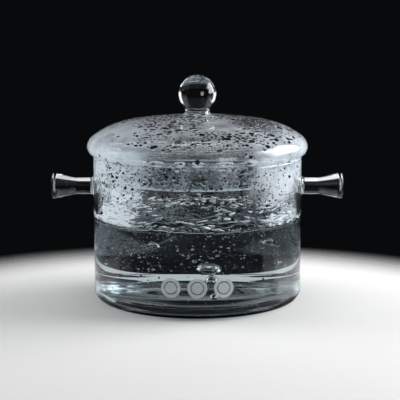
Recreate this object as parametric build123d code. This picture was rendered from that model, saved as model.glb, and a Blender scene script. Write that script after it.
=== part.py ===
from build123d import *

import os
from math import asin, atan2, cos, degrees, sin, sqrt

# A two-handled saucepan and its lid, all in heat-resistant glass, in millimetres.
# The pan stands on z = 0 with its axis on +Z, its handles along X and its marks facing -Y.

# Pan: a straight blown cylinder with a flat base and a fire-polished rim
PAN_DIAMETER = 160.0
PAN_HEIGHT = 112.3
PAN_WALL = 3.0
BASE_THICKNESS = 4.0
BASE_CORNER_RADIUS = 9.0

# Lid: a shallow dome, rolled under at its edge, with a skirt that hangs inside the rim
LID_OVERHANG = 4.7
LID_WALL = 2.8
LID_DOME_RISE = 23.5
LID_CROWN_RADIUS = 340.0
LID_SHOULDER_WIDTH = 30.7
LID_EDGE_RADIUS = 9.5
SKIRT_LENGTH = 17.5
SKIRT_CLEARANCE = 1.4
SEAT_CLEARANCE = 0.3

# Knob: a solid ball on a short neck that flares into the top of the dome
KNOB_DIAMETER = 28.8
KNOB_STANDOFF = 2.6
NECK_FLARE_RADIUS = 4.2

# Handles: solid trumpet-shaped stubs, one each side
HANDLE_LENGTH = 32.0
HANDLE_DROP = 24.3
HANDLE_WAIST_DIAMETER = 12.6
HANDLE_WAIST_LENGTH = 13.0
HANDLE_END_DIAMETER = 20.6
HANDLE_FOOT_FLARE = 2.6
HANDLE_WAIST_BLEND = 16.0
HANDLE_EDGE_RADIUS = 1.6

# Marks: round patches of frosted enamel in a row, low on the front of the wall
MARK_DIAMETER = 14.8
MARK_THICKNESS = 0.15
MARK_SPACING = 19.6
MARK_HEIGHT = 24.5

# Where the pieces meet
PAN_RADIUS = PAN_DIAMETER / 2
BORE_RADIUS = PAN_RADIUS - PAN_WALL
RIM_CREST_RADIUS = PAN_RADIUS - PAN_WALL / 2
LID_RADIUS = PAN_RADIUS + LID_OVERHANG
SKIRT_RADIUS = BORE_RADIUS - SKIRT_CLEARANCE
SEAT_HEIGHT = PAN_HEIGHT + SEAT_CLEARANCE
ROLL_RADIUS = LID_RADIUS - RIM_CREST_RADIUS
WIDEST_HEIGHT = SEAT_HEIGHT + ROLL_RADIUS
DOME_TOP = WIDEST_HEIGHT + LID_DOME_RISE
HANDLE_HEIGHT = PAN_HEIGHT - HANDLE_DROP


def turned(*edges):
    """Turn a closed half section, drawn as radius and height, about the upright axis."""
    return revolve(Plane.XZ * make_face(edges), Axis.Z)


def dome_arcs(inset):
    """The dome's crown, shoulder and edge: three arcs in tangent, each moved in by inset."""
    crown_slope = asin((LID_RADIUS - LID_SHOULDER_WIDTH) / LID_CROWN_RADIUS)
    outward = Vector(sin(crown_slope), cos(crown_slope))
    crown_centre = Vector(0, DOME_TOP - LID_CROWN_RADIUS)
    crown_end = crown_centre + outward * LID_CROWN_RADIUS
    edge_centre = Vector(LID_RADIUS - LID_EDGE_RADIUS, WIDEST_HEIGHT)
    span = crown_end - edge_centre
    shoulder_radius = (span.dot(span) - LID_EDGE_RADIUS**2) / (span.dot(outward) - LID_EDGE_RADIUS) / 2
    shoulder_centre = crown_end - outward * shoulder_radius
    edge_line = edge_centre - shoulder_centre
    crown_angle = 90 - degrees(crown_slope)
    edge_angle = degrees(atan2(edge_line.Y, edge_line.X))
    return [
        CenterArc(crown_centre, LID_CROWN_RADIUS - inset, crown_angle, 90 - crown_angle),
        CenterArc(shoulder_centre, shoulder_radius - inset, edge_angle, crown_angle - edge_angle),
        CenterArc(edge_centre, LID_EDGE_RADIUS - inset, 0, edge_angle),
    ]


def make_pan_body():
    """The open cylinder, with rounded base corners and a half-round rim."""
    rim_radius = PAN_WALL / 2
    rim_height = PAN_HEIGHT - rim_radius
    corner = BASE_CORNER_RADIUS
    inner_corner = corner - PAN_WALL
    floor_edge = BORE_RADIUS - inner_corner
    return turned(
        Line((0, 0), (PAN_RADIUS - corner, 0)),
        CenterArc((PAN_RADIUS - corner, corner), corner, 270, 90),
        Line((PAN_RADIUS, corner), (PAN_RADIUS, rim_height)),
        CenterArc((RIM_CREST_RADIUS, rim_height), rim_radius, 0, 180),
        Line((BORE_RADIUS, rim_height), (BORE_RADIUS, BASE_THICKNESS + inner_corner)),
        CenterArc((floor_edge, BASE_THICKNESS + inner_corner), inner_corner, 0, -90),
        Line((floor_edge, BASE_THICKNESS), (0, BASE_THICKNESS)),
        Line((0, BASE_THICKNESS), (0, 0)),
    )


def make_lid_shell():
    """The blown lid: dome, rolled edge that rests on the rim, and skirt inside the mouth."""
    turn_radius = RIM_CREST_RADIUS - SKIRT_RADIUS
    turn_height = SEAT_HEIGHT - turn_radius
    lip_radius = LID_WALL / 2
    lip_height = SEAT_HEIGHT - SKIRT_LENGTH + lip_radius
    skirt_bore = SKIRT_RADIUS - LID_WALL
    return turned(
        *dome_arcs(0),
        Line((0, DOME_TOP), (0, DOME_TOP - LID_WALL)),
        *dome_arcs(LID_WALL),
        CenterArc((RIM_CREST_RADIUS, WIDEST_HEIGHT), ROLL_RADIUS - LID_WALL, 0, -90),
        CenterArc((RIM_CREST_RADIUS, turn_height), turn_radius + LID_WALL, 90, 90),
        Line((skirt_bore, turn_height), (skirt_bore, lip_height)),
        CenterArc((SKIRT_RADIUS - lip_radius, lip_height), lip_radius, 180, 180),
        Line((SKIRT_RADIUS, lip_height), (SKIRT_RADIUS, turn_height)),
        CenterArc((RIM_CREST_RADIUS, turn_height), turn_radius, 180, -90),
        CenterArc((RIM_CREST_RADIUS, WIDEST_HEIGHT), ROLL_RADIUS, 270, 90),
    )


def make_lid_knob():
    """The solid ball and neck, cut to the dome that they are fused to."""
    ball_radius = KNOB_DIAMETER / 2
    ball_height = DOME_TOP + KNOB_STANDOFF + ball_radius
    flare_height = DOME_TOP + NECK_FLARE_RADIUS
    reach = ball_radius + NECK_FLARE_RADIUS
    drop = ball_height - flare_height
    flare_centre = sqrt(reach**2 - drop**2)
    slope = degrees(asin(drop / reach))
    foot = DOME_TOP - LID_WALL
    blank = turned(
        CenterArc((0, ball_height), ball_radius, 90, -90 - slope),
        CenterArc((flare_centre, flare_height), NECK_FLARE_RADIUS, 180 - slope, 90 + slope),
        Line((flare_centre, DOME_TOP), (flare_centre, foot)),
        Line((flare_centre, foot), (0, foot)),
        Line((0, foot), (0, ball_height + ball_radius)),
    )
    dome = turned(
        *dome_arcs(0),
        Line((0, DOME_TOP), (0, WIDEST_HEIGHT)),
        Line((0, WIDEST_HEIGHT), (LID_RADIUS, WIDEST_HEIGHT)),
    )
    return blank - dome


def make_right_handle():
    """One flared stub along +X, cut to the wall that it is fused to."""
    waist_radius = HANDLE_WAIST_DIAMETER / 2
    foot_radius = waist_radius + HANDLE_FOOT_FLARE
    root = PAN_RADIUS - PAN_WALL
    waist_start = PAN_RADIUS + HANDLE_FOOT_FLARE
    tip = PAN_RADIUS + HANDLE_LENGTH
    section = make_face(
        [
            Line((root, 0), (root, foot_radius)),
            Line((root, foot_radius), (PAN_RADIUS, foot_radius)),
            CenterArc((waist_start, foot_radius), HANDLE_FOOT_FLARE, 180, 90),
            *FilletPolyline(
                (waist_start, waist_radius),
                (PAN_RADIUS + HANDLE_WAIST_LENGTH, waist_radius),
                (tip, HANDLE_END_DIAMETER / 2),
                (tip, 0),
                radius=[HANDLE_WAIST_BLEND, HANDLE_EDGE_RADIUS],
            ).edges(),
            Line((tip, 0), (root, 0)),
        ]
    )
    stub = Pos(0, 0, HANDLE_HEIGHT) * revolve(section, Axis.X)
    wall = Cylinder(PAN_RADIUS, PAN_HEIGHT, align=(Align.CENTER, Align.CENTER, Align.MIN))
    return stub - wall


def make_centre_mark():
    """A thin round patch that follows the outside of the wall."""
    patch = extrude(Plane.XZ * Pos(0, MARK_HEIGHT) * Circle(MARK_DIAMETER / 2), PAN_DIAMETER)
    band = Cylinder(PAN_RADIUS + MARK_THICKNESS, PAN_HEIGHT) - Cylinder(PAN_RADIUS, PAN_HEIGHT)
    return patch & (Pos(0, 0, PAN_HEIGHT / 2) * band)


right_handle = make_right_handle()
centre_mark = make_centre_mark()
mark_angle = degrees(MARK_SPACING / PAN_RADIUS)

pieces = {
    "pan_body": make_pan_body(),
    "left_handle": Rot(0, 0, 180) * right_handle,
    "right_handle": right_handle,
    "left_mark": Rot(0, 0, -mark_angle) * centre_mark,
    "centre_mark": centre_mark,
    "right_mark": Rot(0, 0, mark_angle) * centre_mark,
    "lid_shell": make_lid_shell(),
    "lid_knob": make_lid_knob(),
}

os.makedirs("parts", exist_ok=True)
for name, piece in pieces.items():
    export_step(piece, f"parts/{name}.step")
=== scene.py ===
"""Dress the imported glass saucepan: clear glass, steam, drops, frosted marks and a small studio."""

import bisect
import itertools
import logging
import math
import random
from collections.abc import Callable
from dataclasses import dataclass, field
from enum import Enum

import bmesh
import bpy
from bpy.types import Material, Mesh, Node, NodeSocket, NodeTree, Object
from mathutils import Euler, Matrix, Vector, kdtree, noise
from mathutils.geometry import delaunay_2d_cdt


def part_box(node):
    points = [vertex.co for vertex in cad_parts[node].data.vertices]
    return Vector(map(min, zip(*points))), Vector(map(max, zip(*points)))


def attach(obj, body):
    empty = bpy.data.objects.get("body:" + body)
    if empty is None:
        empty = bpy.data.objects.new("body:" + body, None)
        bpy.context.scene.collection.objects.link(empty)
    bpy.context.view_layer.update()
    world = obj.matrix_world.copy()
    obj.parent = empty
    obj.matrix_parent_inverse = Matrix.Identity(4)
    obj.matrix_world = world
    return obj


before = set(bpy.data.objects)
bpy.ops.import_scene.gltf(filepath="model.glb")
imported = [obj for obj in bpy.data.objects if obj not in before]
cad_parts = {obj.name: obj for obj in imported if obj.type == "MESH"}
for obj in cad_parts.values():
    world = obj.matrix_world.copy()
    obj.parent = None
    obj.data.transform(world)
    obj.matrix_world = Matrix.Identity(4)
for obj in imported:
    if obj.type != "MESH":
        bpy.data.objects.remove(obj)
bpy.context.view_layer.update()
LOG = logging.getLogger("saucepan")
MM = 0.001
WATER_IOR = 1.33
FACING_JOINT = 0.9
ON_AXIS = 1e-9
SAME_SPOT = 1e-4
WHOLE_BALL = -1.0
FILM_DEPTH = 0.1 * MM
FILM_STEP = 3.0 * MM

Point = tuple[float, float]
Place = tuple[float, float, float]
Colour = tuple[float, float, float, float]


class Body(Enum):
    """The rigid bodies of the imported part."""

    PAN = "pan"
    LID = "lid"


class Trace(Enum):
    """Names of the attributes on steamed surfaces and on the points that carry drops."""

    FOG = "fog"
    WET = "wet"
    SPLASH = "splash"
    TURN = "bead_turn"
    HALF = "bead_half"


class Glint(Enum):
    """How a lamp shows in the glass: not at all, mirrored on it, or seen through it."""

    HIDDEN = "hidden"
    MIRRORED = "mirrored"
    THROUGH = "through"


class Graph:
    """Adds nodes to one node tree and wires them."""

    def __init__(self, tree: NodeTree) -> None:
        """Keep the tree and clear it."""
        self.tree = tree
        tree.nodes.clear()

    def node(self, kind: str, values: dict | None = None, **settings: object) -> Node:
        """Add one node.

        Args:
            kind: Blender's name of the node type.
            values: inputs by name or number, each an output socket or a plain value.
            settings: properties of the node, such as its operation.

        Returns:
            The new node.
        """
        made = self.tree.nodes.new(kind)
        for name, value in settings.items():
            setattr(made, name, value)
        for name, value in (values or {}).items():
            if isinstance(value, NodeSocket):
                self.tree.links.new(value, made.inputs[name])
            else:
                made.inputs[name].default_value = value
        return made

    def out(self, kind: str, values: dict | None = None, **settings: object) -> NodeSocket:
        """Add one node and return its first output."""
        return self.node(kind, values, **settings).outputs[0]

    def math(self, operation: str, *values: object) -> NodeSocket:
        """Add a Math node over the values and return its result."""
        return self.out("ShaderNodeMath", dict(enumerate(values)), operation=operation)

    def vector(self, operation: str, *values: object) -> Node:
        """Add a Vector Math node over the values."""
        return self.node("ShaderNodeVectorMath", dict(enumerate(values)), operation=operation)

    def ramp(self, value: object, low: float, high: float, start: float = 0.0, end: float = 1.0,
             kind: str = "SMOOTHSTEP") -> NodeSocket:
        """Map value from low..high to start..end, held at both ends."""
        values = {"Value": value, "From Min": low, "From Max": high, "To Min": start, "To Max": end}
        return self.out("ShaderNodeMapRange", values, interpolation_type=kind)

    def noise(self, vector: object, scale: object, detail: float, distortion: float = 0.0) -> NodeSocket:
        """Add a noise texture and return its value."""
        values = {"Vector": vector, "Scale": scale, "Detail": detail, "Distortion": distortion}
        return self.node("ShaderNodeTexNoise", values).outputs["Fac"]

    def away(self, value: NodeSocket, centre: float) -> NodeSocket:
        """How far a value lies from a centre."""
        return self.math("ABSOLUTE", self.math("SUBTRACT", value, centre))

    def trace(self, trace: Trace) -> NodeSocket:
        """Read one of the steam attributes in a shader."""
        return self.node("ShaderNodeAttribute", attribute_name=trace.value).outputs["Fac"]

    def place(self) -> NodeSocket:
        """The place on the object, in metres."""
        return self.node("ShaderNodeTexCoord").outputs["Object"]

    def axes(self, vector: NodeSocket) -> bpy.types.NodeOutputs:
        """Split a vector into X, Y and Z."""
        return self.node("ShaderNodeSeparateXYZ", {0: vector}).outputs

    def mix(self, share: object, first: NodeSocket, second: NodeSocket) -> NodeSocket:
        """Mix two shaders: first where share is 0, second where it is 1."""
        return self.out("ShaderNodeMixShader", {0: share, 1: first, 2: second})

    def end(self, shader: NodeSocket) -> None:
        """Make a shader the material's surface."""
        self.node("ShaderNodeOutputMaterial", {"Surface": shader})


def new_material(name: str) -> tuple[Material, Graph]:
    """Make an empty node material and the graph of its tree."""
    material = bpy.data.materials.new(name)
    material.use_nodes = True
    return material, Graph(material.node_tree)


def new_group(name: str, kind: str, inputs: dict[str, tuple[str, object]], outputs: dict[str, str]) -> Graph:
    """Make a node group with named sockets.

    Args:
        name: the group's name.
        kind: ShaderNodeTree or GeometryNodeTree.
        inputs: socket type and default (or None) for each input name.
        outputs: socket type for each output name.

    Returns:
        The graph of the new group.
    """
    graph = Graph(bpy.data.node_groups.new(name, kind))
    for label, (socket_type, default) in inputs.items():
        socket = graph.tree.interface.new_socket(label, in_out="INPUT", socket_type=socket_type)
        if default is not None:
            socket.default_value = default
    for label, socket_type in outputs.items():
        graph.tree.interface.new_socket(label, in_out="OUTPUT", socket_type=socket_type)
    return graph


def new_piece(name: str, mesh: Mesh) -> Object:
    """Link a mesh into the scene as an object at the origin."""
    piece = bpy.data.objects.new(name, mesh)
    bpy.context.scene.collection.objects.link(piece)
    return piece


def seat(piece: Object, body: Body) -> None:
    """Let a finished piece ride on its body and report it."""
    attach(piece, body.value)
    LOG.info("%s rides on %s, %d faces", piece.name, body.value, len(piece.data.polygons))


def wear(node: str, material: Material) -> None:
    """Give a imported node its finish."""
    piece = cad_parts[node]
    piece.data.materials.clear()
    piece.data.materials.append(material)
    LOG.info("%s wears %s", node, material.name)


def add_tree(piece: Object, tree: NodeTree, values: dict[str, object]) -> None:
    """Put a geometry tree on a piece as a modifier, with its inputs set by name."""
    modifier = piece.modifiers.new(tree.name, "NODES")
    modifier.node_group = tree
    for item in tree.interface.items_tree:
        if item.in_out == "INPUT" and item.name in values:
            modifier[item.identifier] = values[item.name]


def fused_joint() -> NodeTree:
    """Geometry tree that gives the faces turned towards the neighbouring glass their own material."""
    group = new_group("fused_joint", "GeometryNodeTree", {
        "Piece": ("NodeSocketGeometry", None),
        "Towards": ("NodeSocketVector", (0.0, 0.0, -1.0)),
        "Material": ("NodeSocketMaterial", None),
    }, {"Piece": "NodeSocketGeometry"})
    source = group.node("NodeGroupInput").outputs
    facing = group.vector("DOT_PRODUCT", group.out("GeometryNodeInputNormal"), source["Towards"])
    joint = group.math("GREATER_THAN", facing.outputs["Value"], FACING_JOINT)
    shown = group.out("GeometryNodeSetMaterial", {"Geometry": source["Piece"], "Selection": joint,
                                                  "Material": source["Material"]})
    group.node("NodeGroupOutput", {"Piece": shown})
    return group.tree


def fused_glass() -> Material:
    """Where two pieces of glass are fused there is no surface, so light goes straight on."""
    material, graph = new_material("fused_glass")
    graph.end(graph.out("ShaderNodeBsdfTransparent"))
    return material


def polar(reach: float, bearing: float, height: float) -> Vector:
    """The point at a reach from the upright axis, a bearing round it and a height."""
    return Vector((reach * math.cos(bearing), reach * math.sin(bearing), height))


def arc(centre: Point, radius: float, start: float, sweep: float, steps: int) -> list[Point]:
    """Points along a circular arc in radius and height, angles in degrees."""
    angles = [math.radians(start + sweep * i / steps) for i in range(steps + 1)]
    return [(centre[0] + radius * math.cos(a), centre[1] + radius * math.sin(a)) for a in angles]


def even(profile: list[Point], step: float) -> list[Point]:
    """Walk along a profile and return points about one step apart."""
    spots = [profile[0]]
    for start, end in zip(profile, profile[1:]):
        count = max(1, round(math.dist(start, end) / step))
        for i in range(1, count + 1):
            share = i / count
            spots.append((start[0] + (end[0] - start[0]) * share, start[1] + (end[1] - start[1]) * share))
    return spots


def lathe(name: str, profile: list[Point], segments: int) -> Mesh:
    """Turn an open profile about the upright axis.

    Args:
        name: the mesh's name.
        profile: radius and height of each ring, in metres, from the top or inside outwards.
        segments: steps round the axis.

    Returns:
        A smooth mesh, closed to a point where the profile starts or ends on the axis.
    """
    work = bmesh.new()
    angles = [math.tau * i / segments for i in range(segments)]
    rings = []
    for radius, height in profile:
        if radius < ON_AXIS:
            rings.append([work.verts.new((0, 0, height))] * segments)
        else:
            rings.append([work.verts.new(polar(radius, angle, height)) for angle in angles])
    for upper, lower in zip(rings, rings[1:]):
        for i in range(segments):
            j = (i + 1) % segments
            work.faces.new(list(dict.fromkeys([upper[i], lower[i], lower[j], upper[j]])))
    mesh = bpy.data.meshes.new(name)
    work.to_mesh(mesh)
    work.free()
    mesh.shade_smooth()
    return mesh


def hand_polish() -> NodeTree:
    """Node group for blown glass: faint ripples left by the blowing, and fire-polish haze."""
    group = new_group("hand_polish", "ShaderNodeTree", {
        "Vector": ("NodeSocketVector", None),
        "Ripple Scale": ("NodeSocketFloat", 30.0),
        "Haze": ("NodeSocketFloat", 0.02),
    }, {"Height": "NodeSocketFloat", "Roughness": "NodeSocketFloat"})
    source = group.node("NodeGroupInput").outputs
    height = group.noise(source["Vector"], source["Ripple Scale"], detail=1.0)
    smear = group.noise(source["Vector"], scale=45.0, detail=3.0)
    haze = group.math("MULTIPLY", group.ramp(smear, low=0.5, high=0.8), source["Haze"])
    group.node("NodeGroupOutput", {"Height": height, "Roughness": haze})
    return group.tree


def mist_grain() -> NodeTree:
    """Node group for the finest drops in a steam film: small clear holes of mixed sizes."""
    sockets = {"Vector": ("NodeSocketVector", None), "Grain": ("NodeSocketFloat", 600.0)}
    group = new_group("mist_grain", "ShaderNodeTree", sockets, {"Cover": "NodeSocketFloat"})
    source = group.node("NodeGroupInput").outputs
    cells = group.node("ShaderNodeTexVoronoi", {"Vector": source["Vector"], "Scale": source["Grain"]}).outputs
    pick = group.out("ShaderNodeSeparateColor", {"Color": cells["Color"]})
    hole = group.ramp(pick, low=0.45, high=1.0, end=0.42, kind="LINEAR")
    edge = group.math("SUBTRACT", cells["Distance"], hole)
    group.node("NodeGroupOutput", {"Cover": group.ramp(edge, low=-0.05, high=0.06)})
    return group.tree


def let_through(graph: Graph, glass: NodeSocket, shade: Colour) -> None:
    """End a glass material so that lamps and bounced light pass straight through it."""
    path = graph.node("ShaderNodeLightPath").outputs
    clear = graph.out("ShaderNodeBsdfTransparent", {"Color": shade})
    bounced = graph.mix(path["Is Diffuse Ray"], glass, clear)
    graph.end(graph.mix(path["Is Shadow Ray"], bounced, clear))


@dataclass(frozen=True)
class ClearGlass:
    """Clear fire-polished glass, or a liquid, that lamps shine through."""

    name: str
    tint: Colour = (0.955, 0.985, 1.0, 1.0)
    shade: Colour = (0.9, 0.93, 0.93, 1.0)
    ior: float = 1.47
    clearness: float = 1.0
    roughness: float = 0.0
    ripple_scale: float = 26.0
    ripple: float = 0.03
    ripple_height: float = 1.0 * MM
    haze: float = 0.03

    def material(self, polish: NodeTree | None = None) -> Material:
        """Build the material.

        Args:
            polish: the shared hand polish group, or None for a liquid.

        Returns:
            The finished material.
        """
        material, graph = new_material(self.name)
        values = {"Base Color": self.tint, "IOR": self.ior, "Transmission Weight": self.clearness,
                  "Roughness": self.roughness}
        if polish is not None:
            surface = graph.node("ShaderNodeGroup", {
                "Vector": graph.place(), "Ripple Scale": self.ripple_scale, "Haze": self.haze,
            }, node_tree=polish).outputs
            values["Roughness"] = surface["Roughness"]
            values["Normal"] = graph.out("ShaderNodeBump", {
                "Strength": self.ripple, "Distance": self.ripple_height, "Height": surface["Height"]})
        let_through(graph, graph.out("ShaderNodeBsdfPrincipled", values), self.shade)
        return material


@dataclass(frozen=True)
class SteamFilm:
    """A thin white film of steam, open where drops have formed."""

    name: str
    colour: Colour = (0.80, 0.815, 0.875, 1.0)
    roughness: float = 0.9
    through: float = 0.45
    grain: float = 620.0
    dry_specks: float = 0.2
    wet_specks: float = 0.35
    patch_scale: float = 60.0
    thinnest: float = 0.55
    streak: Place = (9 * MM, 9 * MM, 2.2 * MM)
    splash_reach: float = 0.535

    def splashes(self, graph: Graph, place: NodeSocket) -> NodeSocket:
        """How much of the film is white water, thrown up in streaks where the pan boils hardest."""
        drawn = graph.out("ShaderNodeMapping", {"Vector": place, "Scale": self.streak}, vector_type="TEXTURE")
        swirl = graph.noise(drawn, scale=1.0, detail=4.0, distortion=1.2)
        wash = graph.math("MULTIPLY_ADD", graph.trace(Trace.SPLASH), self.splash_reach, swirl)
        return graph.ramp(wash, low=0.9, high=0.98)

    def material(self, grain: NodeTree) -> Material:
        """Build the material from the shared mist grain group."""
        material, graph = new_material(self.name)
        place = graph.place()
        mist = graph.out("ShaderNodeGroup", {"Vector": place, "Grain": self.grain}, node_tree=grain)
        specks = graph.math("MULTIPLY_ADD", graph.trace(Trace.WET), self.wet_specks, self.dry_specks)
        grained = graph.math("MULTIPLY_ADD", graph.math("SUBTRACT", mist, 1.0), specks, 1.0)
        patch = graph.ramp(graph.noise(place, self.patch_scale, detail=5.0), low=0.32, high=0.62,
                           start=self.thinnest)
        # The fog trace holds the steam and, round large drops, the painted rim highlight.
        cover = graph.math("MULTIPLY", graph.math("MULTIPLY", graph.trace(Trace.FOG), patch), grained)
        cover = graph.math("MAXIMUM", cover, self.splashes(graph, place))
        front = graph.out("ShaderNodeBsdfPrincipled",
                          {"Base Color": self.colour, "Roughness": self.roughness})
        behind = graph.out("ShaderNodeBsdfTranslucent", {"Color": self.colour})
        film = graph.mix(self.through, front, behind)
        graph.end(graph.mix(cover, graph.out("ShaderNodeBsdfTransparent"), film))
        return material


@dataclass(frozen=True)
class FrostedEnamel:
    """Translucent white enamel, fired on as round marks with one clear ring each."""

    name: str = "frosted_enamel"
    colour: Colour = (0.52, 0.57, 0.61, 1.0)
    roughness: float = 0.55
    spacing: float = 19.6 * MM
    height: float = 24.5 * MM
    ring: float = 4.6 * MM
    ring_edge: Point = (0.21 * MM, 0.49 * MM)
    speckle_scale: float = 2400.0
    cover: float = 0.62

    def material(self, wall_radius: float) -> Material:
        """Build the material, with its ring centred on each mark of the row."""
        material, graph = new_material(self.name)
        place = graph.place()
        axes = graph.axes(place)
        turn = graph.math("ARCTAN2", axes["X"], graph.math("MULTIPLY", axes["Y"], -1.0))
        along = graph.math("MULTIPLY", turn, wall_radius)
        across = graph.math("WRAP", along, self.spacing / 2, -self.spacing / 2)
        up = graph.math("SUBTRACT", axes["Z"], self.height)
        reach = graph.math("SQRT", graph.math("MULTIPLY_ADD", across, across, graph.math("MULTIPLY", up, up)))
        solid = graph.ramp(graph.away(reach, self.ring), *self.ring_edge)
        grain = graph.noise(place, self.speckle_scale, detail=2.0)
        speckle = graph.ramp(grain, low=0.3, high=0.7, start=0.85)
        cover = graph.math("MULTIPLY", graph.math("MULTIPLY", solid, speckle), self.cover)
        graph.end(graph.out("ShaderNodeBsdfPrincipled",
                            {"Base Color": self.colour, "Roughness": self.roughness, "Alpha": cover}))
        return material


@dataclass(frozen=True)
class MilkyWater(ClearGlass):
    """Pale water: foam, white with fine air, and painted highlights: glare on waves, gutter beads, tiny
    bubbles' glints.
    """

    tint: Colour = (0.86, 0.88, 0.92, 1.0)
    shade: Colour = (0.86, 0.88, 0.92, 1.0)
    ior: float = WATER_IOR
    clearness: float = 0.5
    roughness: float = 0.12


def bead_setting() -> NodeTree:
    """Geometry tree that sets a drop of water on every point, turned and sized as the point says."""
    group = new_group("bead_setting", "GeometryNodeTree", {
        "Points": ("NodeSocketGeometry", None),
        "Material": ("NodeSocketMaterial", None),
        "Segments": ("NodeSocketInt", 10),
        "Rings": ("NodeSocketInt", 6),
        "Floor": ("NodeSocketFloat", 0.0),
    }, {"Drops": "NodeSocketGeometry"})
    source = group.node("NodeGroupInput").outputs
    sphere = group.out("GeometryNodeMeshUVSphere", {"Segments": source["Segments"], "Rings": source["Rings"]})
    axes = group.axes(group.out("GeometryNodeInputPosition"))
    flat = group.out("ShaderNodeCombineXYZ", {
        "X": axes["X"], "Y": axes["Y"], "Z": group.math("MAXIMUM", axes["Z"], source["Floor"])})
    drop = group.out("GeometryNodeSetPosition", {"Geometry": sphere, "Position": flat})
    smooth = group.out("GeometryNodeSetShadeSmooth", {"Geometry": drop})
    turn, half = (
        group.node("GeometryNodeInputNamedAttribute", {"Name": trace.value},
                   data_type="FLOAT_VECTOR").outputs["Attribute"]
        for trace in (Trace.TURN, Trace.HALF))
    hung = group.out("GeometryNodeInstanceOnPoints", {
        "Points": source["Points"], "Instance": smooth, "Scale": half,
        "Rotation": group.out("FunctionNodeEulerToRotation", {0: turn})})
    solid = group.out("GeometryNodeRealizeInstances", {"Geometry": hung})
    shown = group.out("GeometryNodeSetMaterial", {"Geometry": solid, "Material": source["Material"]})
    group.node("NodeGroupOutput", {"Drops": shown})
    return group.tree


def grow(name: str, host: Mesh, tree: NodeTree, values: dict[str, object]) -> Object:
    """Run a geometry tree on a mesh and keep the result as a plain piece.

    Args:
        name: the new piece's name.
        host: the mesh that the tree starts from.
        tree: the geometry tree.
        values: the tree's inputs by name.

    Returns:
        The finished piece, with no modifier.
    """
    bench = new_piece(name + "_bench", host)
    add_tree(bench, tree, values)
    depsgraph = bpy.context.evaluated_depsgraph_get()
    mesh = bpy.data.meshes.new_from_object(bench.evaluated_get(depsgraph), preserve_all_data_layers=True,
                                           depsgraph=depsgraph)
    mesh.name = name
    mesh.materials.pop(index=0)
    bench.modifiers.clear()
    bpy.data.objects.remove(bench)
    return new_piece(name, mesh)


@dataclass
class Shop:
    """The finishes and trees that the sub-assemblies share."""

    polish: NodeTree = field(default_factory=hand_polish)
    grain: NodeTree = field(default_factory=mist_grain)
    setting: NodeTree = field(default_factory=bead_setting)
    joint: NodeTree = field(default_factory=fused_joint)
    fused: Material = field(default_factory=fused_glass)
    # Painted shade: the drops' water is tinted dark, in place of the dark surroundings seen through them.
    painted_dark_drop_tint: Colour = (0.09, 0.095, 0.11, 1.0)
    water: Material = field(init=False)

    def __post_init__(self) -> None:
        """Make the water that every drop is of, tinted dark: painted shade for the dark surroundings that the
        drops show.
        """
        self.water = ClearGlass("condensed_water_painted_dark", self.painted_dark_drop_tint, ior=WATER_IOR).material()

    def fuse(self, node: str, towards: Place) -> None:
        """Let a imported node's glass run on into its neighbour's, which lies in the given direction."""
        add_tree(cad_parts[node], self.joint, {"Towards": towards, "Material": self.fused})


@dataclass(frozen=True)
class Ramp:
    """A smooth rise from 0 at low to 1 at high, or a fall where high is the smaller."""

    low: float
    high: float

    def __call__(self, value: float) -> float:
        """Height of the ramp at a value."""
        share = min(1.0, max(0.0, (value - self.low) / (self.high - self.low)))
        return share * share * (3 - 2 * share)


@dataclass(frozen=True)
class Oval:
    """An oval patch seen from above, full in its middle and fading out to its edge."""

    centre: Point
    half: Point
    fade: Ramp = Ramp(1.0, 0.4)

    def __call__(self, spot: Vector) -> float:
        """How much of the patch lies at a place."""
        return self.fade(math.hypot(*((s - c) / h for s, c, h in zip(spot.xy, self.centre, self.half))))


@dataclass(frozen=True)
class Patches:
    """Patches of smooth noise: how many to a metre, where they begin and are full, and a shift."""

    scale: float | Vector
    edge: Ramp
    shift: Place = (0.0, 0.0, 0.0)

    def __call__(self, spot: Vector, bias: float = 0.0) -> float:
        """How much of a patch lies at a place, more of it where there is a bias."""
        return self.edge(0.5 + 0.5 * noise.noise(spot * self.scale + Vector(self.shift)) + bias)


@dataclass(frozen=True)
class Spread:
    """A range of values, crowded at its low end by a power above 1 and at its high end by one below."""

    least: float
    span: float
    power: float

    def draw(self, dice: random.Random) -> float:
        """Pick one value."""
        return self.least + self.span * dice.random() ** self.power


def any_bearing(dice: random.Random) -> float:
    """Pick a bearing round the axis."""
    return dice.uniform(-math.pi, math.pi)


@dataclass(frozen=True)
class Bead:
    """One drop: its place, its turn and its three half sizes."""

    place: Vector
    turn: Euler
    half: Vector


def ball(place: Vector, radius: float, flatness: float = 1.0) -> Bead:
    """A round bead, or one flattened from above."""
    return Bead(place, Euler(), Vector((radius, radius, radius * flatness)))


def set_beads(name: str, beads: list[Bead], shop: Shop, material: Material, segments: int, rings: int,
              floor: float = 0.0) -> Object:
    """Turn a list of beads into one piece.

    Args:
        name: the piece's name.
        beads: where the drops sit.
        shop: the shared finishes and trees.
        material: what the drops are of.
        segments: sides of each drop.
        rings: rings of each drop.
        floor: where the unit ball is cut flat, 0 for half drops.

    Returns:
        The new piece.
    """
    host = bpy.data.meshes.new(name + "_points")
    host.from_pydata([bead.place for bead in beads], [], [])
    turns = [part for bead in beads for part in bead.turn]
    halves = [part for bead in beads for part in bead.half]
    for trace, values in ((Trace.TURN, turns), (Trace.HALF, halves)):
        host.attributes.new(trace.value, "FLOAT_VECTOR", "POINT").data.foreach_set("vector", values)
    return grow(name, host, shop.setting,
                {"Material": material, "Segments": segments, "Rings": rings, "Floor": floor})


def inside_outline(spot: Vector, outline: list[Vector]) -> bool:
    """Whether a point lies inside a convex outline that runs the same way all round."""
    turns = [(b - a).cross(spot - a) > 0 for a, b in zip(outline, outline[1:] + outline[:1])]
    return all(turns) or not any(turns)


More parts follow.
